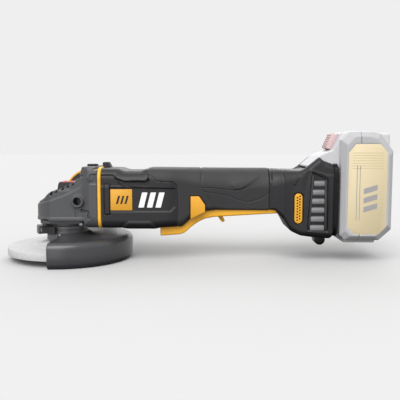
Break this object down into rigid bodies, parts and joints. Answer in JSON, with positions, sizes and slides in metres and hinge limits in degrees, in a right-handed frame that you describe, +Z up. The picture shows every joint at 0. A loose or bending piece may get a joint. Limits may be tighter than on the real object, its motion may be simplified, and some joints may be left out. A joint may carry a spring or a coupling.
{
  "type": "angle grinder",
  "caption": "Cordless angle grinder with bevel gear head, turning guard, paddle switch with lock-off tab, side handle and slide-off battery.",
  "frame": {"origin": "centre of the spindle's nose end face", "axes": "+Z up along the spindle, away from the disc; +X along the motor towards the battery; +Y towards the fitted side handle"},
  "size_m": [0.4059, 0.2287, 0.1349],
  "materials": {
    "case_grey": "satin",
    "housing_black": "satin",
    "rubber_black": "matte",
    "yellow": "satin",
    "button_red": "gloss",
    "battery_grey": "satin",
    "disc_grey": "matte",
    "guard_black": "satin",
    "steel": "polished",
    "dark_steel": "satin",
    "aluminium": "satin",
    "copper": "satin",
    "slat_grey": "satin",
    "release_pink": "satin"
  },
  "bodies": {
    "body": {"gear_case": "case_grey", "bearing_cap": "case_grey", "gear_case_screw_1": "dark_steel", "gear_case_screw_2": "dark_steel", "gear_case_screw_3": "dark_steel", "gear_case_screw_4": "dark_steel", "case_ring": "yellow", "spindle_lock_tower": "rubber_black", "handle_hole_plug": "rubber_black", "spindle_bearing_lower": "steel", "spindle_bearing_upper": "steel", "motor_bearing_front": "steel", "motor_bearing_rear": "steel", "stator_core": "dark_steel", "stator_windings": "copper", "motor_end_bell": "aluminium", "housing_left": "housing_black", "housing_right": "housing_black", "grip_left": "rubber_black", "grip_right": "rubber_black", "side_insert_left": "yellow", "side_insert_right": "yellow", "air_inlet_left": "yellow", "air_inlet_right": "yellow", "vent_grille_left": "slat_grey", "vent_grille_right": "slat_grey", "controller_module": "aluminium", "switch_block": "rubber_black", "terminal_block": "rubber_black", "battery_receiver": "rubber_black", "rear_bumper": "rubber_black", "paddle_pin": "steel", "paddle_spring": "steel", "handle_stud": "steel", "handle_core": "housing_black", "handle_rim": "yellow", "handle_grip": "rubber_black"},
    "spindle": {"spindle": "steel", "crown_gear": "dark_steel", "grinding_disc": "disc_grey", "inner_flange": "dark_steel", "clamp_nut": "dark_steel"},
    "rotor": {"rotor_shaft": "steel", "rotor_core": "dark_steel", "pinion_gear": "dark_steel", "cooling_fan": "rubber_black"},
    "spindle_lock": {"spindle_lock_button": "button_red", "spindle_lock_pin": "steel", "spindle_lock_spring": "steel"},
    "paddle": {"paddle": "yellow", "lock_off_pin": "steel"},
    "lock_off": {"lock_off_lever": "yellow"},
    "guard": {"guard_shell": "guard_black", "guard_collar": "guard_black", "clamp_screw": "steel"},
    "clamp_lever": {"guard_clamp_lever": "rubber_black"},
    "battery": {"battery_case": "battery_grey", "battery_cover": "battery_grey", "battery_cells": "aluminium"},
    "battery_release": {"battery_release_button": "release_pink"}
  },
  "joints": [
    {"name": "spindle_spin", "type": "hinge", "parent": "body", "child": "spindle", "pos_m": [0, 0, 0], "axis": [0, 0, 1], "continuous": true},
    {"name": "motor_spin", "type": "hinge", "parent": "body", "child": "rotor", "pos_m": [0, 0, 0.0563], "axis": [1, 0, 0], "continuous": true},
    {"name": "spindle_lock_press", "type": "slide", "parent": "body", "child": "spindle_lock", "axis": [0, 0, -1], "range_m": [0, 0.003], "stiffness_N_per_m": 600, "springref_m": -0.003, "deforming": ["spindle_lock_spring"]},
    {"name": "paddle_squeeze", "type": "hinge", "parent": "body", "child": "paddle", "pos_m": [0.221, 0, 0.0475], "axis": [0, 1, 0], "range_deg": [0, 2.3], "stiffness_Nm_per_rad": 8, "springref_deg": -3.44, "deforming": ["paddle_spring"]},
    {"name": "lock_off_swing", "type": "hinge", "parent": "paddle", "child": "lock_off", "pos_m": [0.163, 0, 0.0413], "axis": [0, -1, 0], "range_deg": [0, 22], "stiffness_Nm_per_rad": 0.02, "springref_deg": -11.46},
    {"name": "guard_turn", "type": "hinge", "parent": "body", "child": "guard", "pos_m": [0, 0, 0.019], "axis": [0, 0, 1], "range_deg": [-90, 68]},
    {"name": "clamp_lever_swing", "type": "hinge", "parent": "guard", "child": "clamp_lever", "pos_m": [-0.02126, -0.01822, 0.019], "axis": [0, 0, -1], "range_deg": [0, 100]},
    {"name": "battery_slide", "type": "slide", "parent": "body", "child": "battery", "axis": [0, 0, 1], "range_m": [0, 0.08]},
    {"name": "battery_release_press", "type": "slide", "parent": "battery", "child": "battery_release", "axis": [0.9184, 0, -0.3957], "range_m": [0, 0.003], "stiffness_N_per_m": 500, "springref_m": -0.003}
  ],
  "couplings": [
    {"joint": "motor_spin", "follows": "spindle_spin", "ratio": 3.7}
  ]
}
